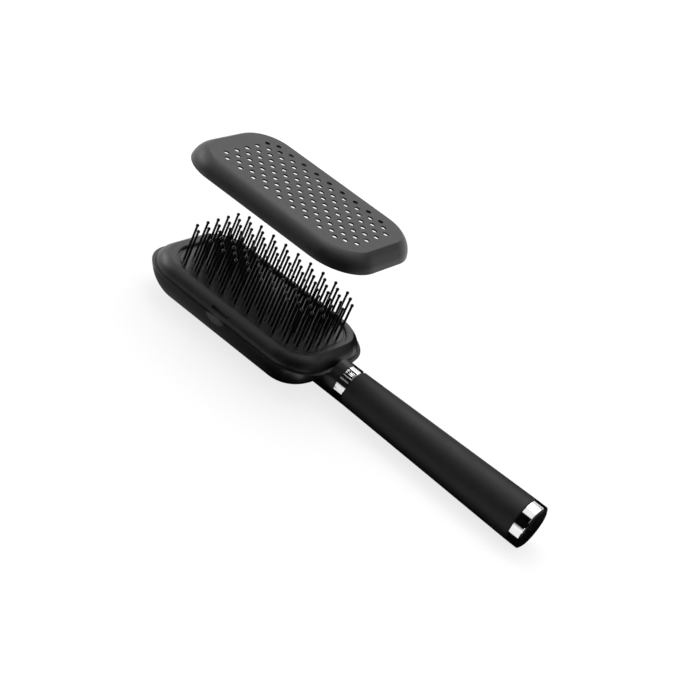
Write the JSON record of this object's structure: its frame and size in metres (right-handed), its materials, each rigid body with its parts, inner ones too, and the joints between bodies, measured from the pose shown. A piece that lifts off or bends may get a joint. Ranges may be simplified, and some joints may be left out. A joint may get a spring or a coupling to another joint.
{
  "type": "self-cleaning styling brush",
  "caption": "Paddle hair brush with ball-tipped pins on a padded bed, a round ringed handle and a perforated cover that lifts off the pins to strip hair from them.",
  "frame": {"origin": "centre of the flat on the head's back, which lies on the table", "axes": "+X along the brush from the head to the handle's end, +Y across the head, +Z along the pins"},
  "size_m": [0.2422, 0.07, 0.0866],
  "materials": {
    "shell_black": "satin",
    "cover_black": "satin",
    "bed_grey": "satin",
    "pin_black": "gloss",
    "grip_soft": "soft-touch",
    "chrome": "polished",
    "plug_black": "gloss",
    "inner_plastic": "matte",
    "screw_steel": "plain"
  },
  "bodies": {
    "brush": {"back_shell": "shell_black", "top_frame": "shell_black", "pin_bed": "bed_grey", "backing_plate": "inner_plastic", "bed_screws": "screw_steel", "pin_row_01": "pin_black", "pin_row_02": "pin_black", "pin_row_03": "pin_black", "pin_row_04": "pin_black", "pin_row_05": "pin_black", "pin_row_06": "pin_black", "pin_row_07": "pin_black", "pin_row_08": "pin_black", "pin_row_09": "pin_black", "pin_row_10": "pin_black", "pin_row_11": "pin_black", "neck_ring": "chrome", "grip_sleeve": "grip_soft", "handle_core": "inner_plastic", "handle_screw": "screw_steel", "end_ring": "chrome", "end_plug": "plug_black"},
    "cover": {"cleaning_cover": "cover_black"}
  },
  "joints": [
    {"name": "cover_lift", "type": "slide", "parent": "brush", "child": "cover", "axis": [0, 0, 1], "range_m": [-0.061, 0]}
  ]
}
